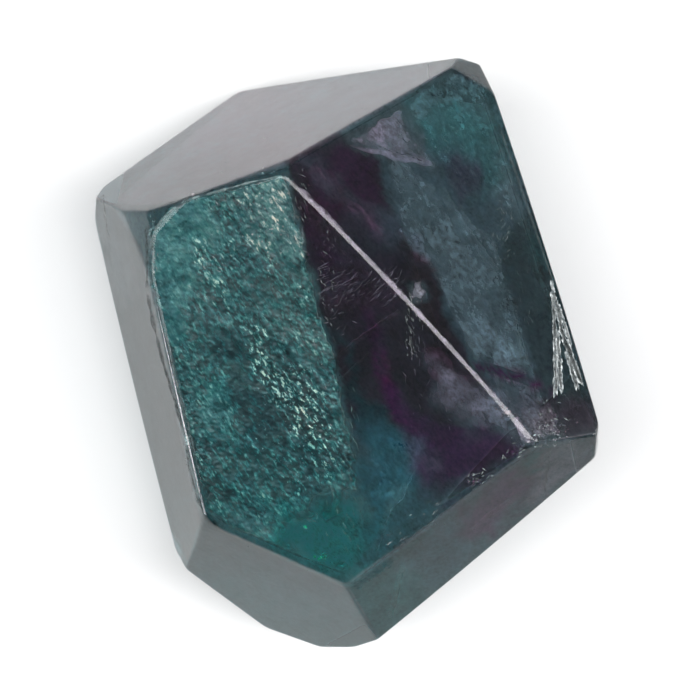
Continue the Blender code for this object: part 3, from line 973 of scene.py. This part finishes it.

# ---------------------------------------------------------------------------------------------
# Small flaws: chips and nicks along the edges and specks inside, all of them flakes of crystal a
# fraction of a millimetre across; green glints painted as bright green flakes; and one larger
# flake at the ridge's foot that is a painted highlight.
# ---------------------------------------------------------------------------------------------

# Each cluster: middle and spread in steps, how many, smallest and largest size in steps, depth in
# mm, colour, and how solid it is
WHITE, GREY, PALE_TEAL = (0.95, 0.97, 0.95), (0.55, 0.58, 0.58), (0.50, 0.85, 0.78)
FLAKE_CLUSTERS = [
    ((187, 440), (1.6, 3.0), 16, (1.2, 3.2), 0.05, WHITE, 0.95),
    ((187, 452), (1.2, 8.0), 14, (0.8, 1.8), 0.05, GREY, 0.8),
    ((192, 195), (2.2, 0.8), 8, (1.0, 2.2), 0.03, WHITE, 0.9),
    ((508, 412), (2.6, 2.2), 22, (1.0, 2.8), 0.04, (0.80, 0.72, 0.70), 0.9),
    ((504, 408), (3.0, 3.0), 8, (1.0, 2.4), 0.03, (0.25, 0.20, 0.20), 0.9),
    ((475, 482), (3.4, 2.0), 16, (0.9, 2.2), 0.05, WHITE, 0.8),
    ((428, 521), (16, 4), 22, (0.8, 1.7), 0.06, GREY, 0.7),
    ((550, 434), (9, 9), 90, (0.7, 2.0), 0.10, WHITE, 0.65),
    ((152, 228), (1.8, 9.0), 34, (0.8, 1.9), 0.06, WHITE, 0.75),
    ((151, 262), (1.2, 14.0), 24, (0.7, 1.5), 0.06, WHITE, 0.6),
    # painted glints: saturated green flakes standing in for green sparkles of light
    ((306, 527), (0.8, 0.8), 3, (1.6, 2.6), 0.10, (0.02, 0.95, 0.45), 1.0),
    ((320, 559), (4.0, 3.0), 12, (1.0, 2.4), 0.10, (0.05, 0.80, 0.35), 0.9),
    ((325, 556), (3.5, 3.0), 10, (1.0, 2.2), 0.10, (0.75, 0.55, 0.55), 0.7),
    ((328, 566), (10, 4), 14, (0.7, 1.6), 0.10, PALE_TEAL, 0.7),
    ((372, 548), (20, 14), 16, (0.6, 1.3), 0.15, PALE_TEAL, 0.5),
    ((340, 300), (36, 60), 46, (0.6, 1.4), 0.4, GREY, 0.6),
    ((450, 250), (50, 90), 70, (0.5, 1.2), 0.4, GREY, 0.4),
    ((440, 110), (50, 20), 40, (0.6, 1.4), 0.4, PALE_TEAL, 0.35),
    ((400, 440), (44, 34), 40, (0.6, 1.3), 0.4, GREY, 0.4),
    ((420, 295), (4, 6), 14, (0.9, 2.2), 0.3, WHITE, 0.6),
    ((240, 330), (50, 90), 60, (0.7, 1.6), 0.25, PALE_TEAL, 0.5),
    ((275, 215), (18, 28), 60, (0.8, 2.2), 0.25, WHITE, 0.55),
    ((300, 410), (26, 44), 80, (0.8, 1.9), 0.25, WHITE, 0.45),
]


def flake_cloud(clusters, seed):
    """Plan places (N, 5, 2), depths, colours and solidness of flakes: five-cornered scraps, whose
    corners lie round a middle at random distances from half to the whole of their size."""
    dice = np.random.default_rng(seed)
    places, depths, colours, solid = [], [], [], []
    for middle, spread, number, sizes, depth, colour, solidness in clusters:
        centre = np.array(middle) + dice.normal(size=(number, 2)) * spread
        turn = dice.uniform(0, 2 * np.pi, (number, 1)) + np.arange(5) * 2 * np.pi / 5
        reach = dice.uniform(*sizes, (number, 1)) * dice.uniform(0.5, 1.0, (number, 5)) / 1.6
        places.append(centre[:, None] + reach[..., None] * np.stack([np.cos(turn), -np.sin(turn)], -1))
        level = depth * dice.uniform(0.6, 1.4, (number, 1))
        depths.append(level + 0.02 * dice.uniform(size=(number, 5)))
        tone = dice.uniform(0.55, 1.0, (number, 1, 1))
        colours.append(np.broadcast_to(tone * np.array(colour), (number, 5, 3)))
        solid.append(np.broadcast_to(solidness * dice.uniform(0.5, 1.0, (number, 1)), (number, 5)))
    return [np.concatenate(part) for part in (places, depths, colours, solid)]


flake_places, flake_depths, flake_colours, flake_solid = flake_cloud(FLAKE_CLUSTERS, 47)
# the ridge's foot: a painted highlight, one broad bright patch where the ridge's highlight flares
ridge_foot_highlight = np.array([[(512, 419), (517, 416), (531, 437), (529, 443), (522, 440)]], float)
flake_places = np.concatenate([flake_places, ridge_foot_highlight])
flake_depths = np.concatenate([flake_depths, np.full((1, 5), SKIM)])
flake_colours = np.concatenate([flake_colours, np.full((1, 5, 3), (0.34, 0.32, 0.37))])
flake_solid = np.concatenate([flake_solid, np.full((1, 5), 0.85)])
kept = lying_on_top(flake_places, 0.2)
flake_places, flake_depths = flake_places[kept], flake_depths[kept]
flake_colours, flake_solid = flake_colours[kept], flake_solid[kept]
places = flake_places.reshape(-1, 2)
flakes = mesh_piece(
    "flaws_and_flakes", in_frame(under_skin(places, flake_depths.reshape(-1))),
    [np.arange(len(places)).reshape(-1, 5)],
)
mark(flakes, "tint", with_solidness(flake_colours, flake_solid), "FLOAT_COLOR")
material, tree, shader = part_material("crystal_flake")
tinted = add_node(tree, "Attribute", attribute_name="tint")
glint = ranged(tree, noise_field(tree, 5200, 2, 0.5), 0.35, 0.65, 0.7, 1.3)
tree.links.new(product(tree, tinted.outputs["Color"], glint), shader.inputs["Base Color"])
tree.links.new(tinted.outputs["Alpha"], shader.inputs["Alpha"])
shader.inputs["Roughness"].default_value = 0.3
flakes.data.materials.append(material)
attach(flakes, "root")

# ---------------------------------------------------------------------------------------------
# Cracks: flat partings that run in from the surface and lean over, so that they show as pale
# lines with a thin haze beside them, and one dark wedge in the left wall's top corner.
# ---------------------------------------------------------------------------------------------

# Each crack: its line in steps, how far it leans aside in steps by its foot, how deep it goes in
# mm, its colour and how solid it is at its lip
CRACKS = [
    ([(421, 462), (412, 480), (405, 497), (393, 511), (387, 528), (380, 548), (378, 562)], 7, 2.5,
     (0.62, 0.70, 0.72), 0.40),
    ([(407, 566), (402, 582), (398, 600), (393, 618)], 8, 2.0, (0.70, 0.75, 0.75), 0.45),
    ([(334, 357), (350, 342), (372, 326), (397, 309)], 4, 1.5, (0.62, 0.52, 0.62), 0.60),
    ([(338, 380), (352, 366), (368, 352)], 3, 1.0, (0.5, 0.5, 0.55), 0.4),
    ([(104, 194), (105, 206), (107, 222), (111, 241)], 5, 0.6, (0.02, 0.03, 0.04), 0.95),
    ([(98, 197), (103, 194), (108, 197)], 4, 0.5, (0.02, 0.03, 0.04), 0.9),
    ([(366, 140), (392, 150), (420, 158), (436, 161)], 6, 1.5, (0.55, 0.55, 0.62), 0.45),
    ([(396, 112), (402, 130), (410, 152)], 6, 1.5, (0.45, 0.55, 0.6), 0.4),
    ([(512, 300), (522, 340), (534, 372), (546, 412)], 4, 1.5, (0.5, 0.6, 0.62), 0.4),
    ([(402, 228), (416, 262), (430, 300), (448, 352)], 8, 2.0, (0.40, 0.46, 0.5), 0.25),
    ([(446, 186), (462, 216), (484, 246), (500, 268)], 10, 2.0, (0.42, 0.50, 0.52), 0.25),
    ([(552, 448), (549, 470), (545, 498)], 6, 1.5, (0.10, 0.09, 0.10), 0.5),
    ([(470, 528), (486, 512), (508, 498)], 8, 2.0, (0.55, 0.45, 0.52), 0.25),
]


def crack_sheets(cracks, seed):
    """Plan places, depths, colours and solidness of leaning sheets, each a grid of forty steps
    along its line and six down: the foot is shifted aside by the lean, the line trembles, and the
    sheet thins out as (1 - share down) squared and towards both ends."""
    dice = np.random.default_rng(seed)
    along, down = np.linspace(0, 1, 40), np.linspace(0, 1, 6)
    places, depths, colours, solid = [], [], [], []
    for line, lean, depth, colour, solidness in cracks:
        line = np.array(line, float)
        knots = np.linspace(0, 1, len(line))
        spine = np.stack([np.interp(along, knots, line[:, axis]) for axis in (0, 1)], axis=1)
        spine += 0.5 * np.stack([ripple(spine, 9, 5), ripple(spine, 9, 6)], axis=1)
        way = np.gradient(spine, axis=0)
        aside = np.stack([-way[:, 1], way[:, 0]], axis=1) / np.linalg.norm(way, axis=1)[:, None]
        drape = lean * (0.12 + 0.88 * down) * (1 + 0.3 * dice.normal())
        places.append(spine[:, None] + aside[:, None] * drape[:, None])
        depths.append(np.broadcast_to(0.03 + depth * down, (40, 6)))
        ends = smooth_step(np.minimum(along, 1 - along), -0.05, 0.2)
        solid.append(solidness * ends[:, None] * (1 - down) ** 2)
        colours.append(np.broadcast_to(colour, (40, 6, 3)))
    return [np.stack(part) for part in (places, depths, colours, solid)]


crack_places, crack_depths, crack_colours, crack_solid = crack_sheets(CRACKS, 53)
kept = lying_on_top(crack_places, 0.2)
crack_places, crack_depths = crack_places[kept], crack_depths[kept]
crack_colours, crack_solid = crack_colours[kept], crack_solid[kept]
places = crack_places.reshape(-1, 2)
cracks = mesh_piece(
    "cracks", in_frame(under_skin(places, crack_depths.reshape(-1))),
    [strip_faces(len(crack_places), 40, 6)],
)
mark(cracks, "tint", with_solidness(crack_colours, crack_solid), "FLOAT_COLOR")
material, tree, shader = part_material("crack_film")
tinted = add_node(tree, "Attribute", attribute_name="tint")
breaks = ranged(tree, noise_field(tree, 1800, 5, 0.7), 0.34, 0.62, 0.25, 1.4)
tree.links.new(product(tree, tinted.outputs["Color"], ranged(tree, breaks, 0.25, 1.4, 0.7, 1.1)),
               shader.inputs["Base Color"])
cover = combined(tree, "MULTIPLY", tinted.outputs["Alpha"], breaks)
tree.links.new(ranged(tree, cover, 0, 1, 0, 1), shader.inputs["Alpha"])
shader.inputs["Roughness"].default_value = 0.3
cracks.data.materials.append(material)
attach(cracks, "root")

# ---------------------------------------------------------------------------------------------
# Edge lines: hair-thin ribbons along the edges between faces, which are painted light and shade.
# They are a painted lilac highlight along the ridge, painted pale highlights on the near top
# face's rim and on the right-hand rim, and painted dark bands of shade along the other edges.
# ---------------------------------------------------------------------------------------------

# Each line: its places in steps, its width there, its colour, and how solid it is; the pale
# lines are painted highlights and the dark ones painted shade
EDGE_LIGHT_AND_SHADE_LINES = [
    ([(150, 256), (151, 243), (154, 233), (159, 224), (166, 215), (175, 207), (184, 201),
      (200, 196), (219, 191), (251, 182), (277, 177), (288, 179)], 1.5, (0.24, 0.31, 0.31), 0.6),
    ([(147, 292), (153, 322), (163, 362), (174, 398), (184, 434)], 2.2, (0.010, 0.022, 0.024), 0.8),
    ([(149, 262), (151, 290), (157, 322)], 1.1, (0.12, 0.20, 0.20), 0.35),
    ([(168, 335), (174, 362), (182, 401), (189, 435), (196, 461), (199, 483), (204, 513)], 2.4,
     (0.020, 0.045, 0.050), 0.8),
    ([(352, 588), (372, 574), (394, 558)], 7.0, (0.02, 0.06, 0.07), 0.5),
    ([(450, 66), (466, 66), (480, 73), (490, 88)], 6.0, (0.02, 0.05, 0.06), 0.5),
    ([(186, 446), (190, 470), (198, 500), (205, 512)], 2.0, (0.012, 0.028, 0.030), 0.7),
    ([(146, 226), (147, 246), (147, 270), (147, 288)], 2.2, (0.05, 0.07, 0.07), 0.7),
    ([(205, 512), (240, 530), (300, 556), (345, 574)], 1.8, (0.012, 0.030, 0.032), 0.6),
    ([(350, 584), (400, 546), (470, 492), (546, 443)], 1.5, (0.05, 0.06, 0.07), 0.45),
    ([(498, 122), (520, 185), (545, 258), (556, 290)], 1.0, (0.14, 0.17, 0.17), 0.45),
    ([(160, 206), (220, 188), (286, 168), (350, 131), (446, 77)], 1.4, (0.02, 0.03, 0.04), 0.5),
    ([(548, 441), (570, 437), (594, 433)], 1.3, (0.16, 0.15, 0.17), 0.5),
    # a painted highlight along the ridge, wider than the one its rounding catches
    ([(291, 181), (325, 214), (370, 261), (415, 309), (460, 358), (507, 410)], 3.2,
     (0.42, 0.37, 0.46), 0.50),
]


def edge_light_ribbons(lines):
    """Plan places and tints of flat ribbons: sixty cross-lines of five points along each line,
    solid as 1 - across squared, so that a ribbon fades to both sides."""
    along, across = np.linspace(0, 1, 60), np.linspace(-1, 1, 5)
    places, tints = [], []
    for line, width, colour, solid in lines:
        line = np.array(line, float)
        steps = np.linalg.norm(np.diff(line, axis=0), axis=1)
        knots = np.concatenate([[0], np.cumsum(steps)]) / steps.sum()
        spine = np.stack([np.interp(along, knots, line[:, axis]) for axis in (0, 1)], axis=1)
        way = np.gradient(spine, axis=0)
        aside = np.stack([-way[:, 1], way[:, 0]], axis=1) / np.linalg.norm(way, axis=1)[:, None]
        half = width * (0.75 + 0.3 * ripple(spine, 14, 61))
        places.append(spine[:, None] + aside[:, None] * (half[:, None] * across)[..., None])
        fade = smooth_step(np.minimum(along, 1 - along), -0.02, 0.1)[:, None] * (1 - across**2)
        tint = np.ones((60, 5, 4)) * (*colour, solid)
        tint[..., 3] *= fade
        tints.append(tint)
    return np.stack(places), np.stack(tints)


line_places, line_tints = edge_light_ribbons(EDGE_LIGHT_AND_SHADE_LINES)
kept = lying_on_top(line_places, 0.2)
line_places, line_tints = line_places[kept], line_tints[kept]
edge_light_piece = mesh_piece(
    "edge_highlights_and_shade", in_frame(under_skin(line_places.reshape(-1, 2), 1.5 * SKIM)),
    [strip_faces(len(line_places), 60, 5)],
)
mark(edge_light_piece, "tint", line_tints, "FLOAT_COLOR")
material, tree, shader = part_material("painted_edge_light")
tinted = add_node(tree, "Attribute", attribute_name="tint")
# line_breakup: noise that breaks up each painted line of light or shade
line_breakup = ranged(tree, noise_field(tree, 2200, 4, 0.65), 0.36, 0.62, 0.35, 1.3)
tree.links.new(product(tree, tinted.outputs["Color"], ranged(tree, line_breakup, 0.35, 1.3, 0.7, 1.15)),
               shader.inputs["Base Color"])
tree.links.new(product(tree, tinted.outputs["Alpha"], line_breakup), shader.inputs["Alpha"])
shader.inputs["Roughness"].default_value = 0.35
shader.inputs["Specular IOR Level"].default_value = 0.08
edge_light_piece.data.materials.append(material)
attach(edge_light_piece, "root")

# ---------------------------------------------------------------------------------------------
# The studio: a plain pale floor, a large softbox overhead, a smaller one at each side and a dim
# pale room round them, with the camera looking straight down.
# ---------------------------------------------------------------------------------------------

FLOOR_RADIUS, FLOOR_CORNERS = 3.0, 96  # metres, and how many corners its round outline has
turn = np.linspace(0, 2 * np.pi, FLOOR_CORNERS, endpoint=False)
rim = np.stack([np.cos(turn), np.sin(turn), 0 * turn], axis=1) * FLOOR_RADIUS
rim[:, 2] = -0.02 * MM  # a hair under the stone's back
floor = mesh_piece("studio_floor", rim, [np.arange(FLOOR_CORNERS)[None, :]])
paper = bpy.data.materials.new("floor_paper")
paper.use_nodes = True
paper_shader = paper.node_tree.nodes["Principled BSDF"]
paper_shader.inputs["Base Color"].default_value = (0.80, 0.80, 0.80, 1)
paper_shader.inputs["Roughness"].default_value = 0.9
floor.data.materials.append(paper)
floor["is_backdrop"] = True

world = bpy.data.worlds.new("studio_room")
bpy.context.scene.world = world
world.use_nodes = True
world.node_tree.nodes["Background"].inputs["Color"].default_value = (0.95, 0.97, 1.0, 1)
world.node_tree.nodes["Background"].inputs["Strength"].default_value = 0.26


def add_softbox(name, place, size, radiance, turn=0.0):
    """A rectangular softbox, size in metres, turned about Y (radians); radiance is in watts per
    square metre and steradian."""
    lamp = bpy.data.lights.new(name, "AREA")
    lamp.shape = "RECTANGLE"
    lamp.size, lamp.size_y = size
    lamp.energy = radiance * np.pi * size[0] * size[1]
    stand = bpy.data.objects.new(name, lamp)
    bpy.context.scene.collection.objects.link(stand)
    stand.location = place
    stand.rotation_euler.y = turn
    stand.visible_camera = False


add_softbox("overhead_softbox", (0.04, 0.0, 1.2), (1.46, 0.42), 9.0)
add_softbox("left_softbox", (-1.0, -0.32, 1.1), (0.50, 0.70), 4.5, turn=-0.74)
add_softbox("right_softbox", (1.15, -0.10, 0.55), (0.60, 0.80), 7.0, turn=1.12)

SENSOR, PLAN_SIDE = 36.0, 700  # mm, and the steps along a side of the plan drawing
camera_lens = bpy.data.cameras.new("camera")
camera_lens.sensor_width = SENSOR
camera_lens.lens = PLAN_SCALE * SENSOR / PLAN_SIDE
camera = bpy.data.objects.new("camera", camera_lens)
camera.location = EYE * MM
bpy.context.scene.collection.objects.link(camera)
bpy.context.scene.camera = camera
bpy.context.scene.view_settings.view_transform = "Standard"

low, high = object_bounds()
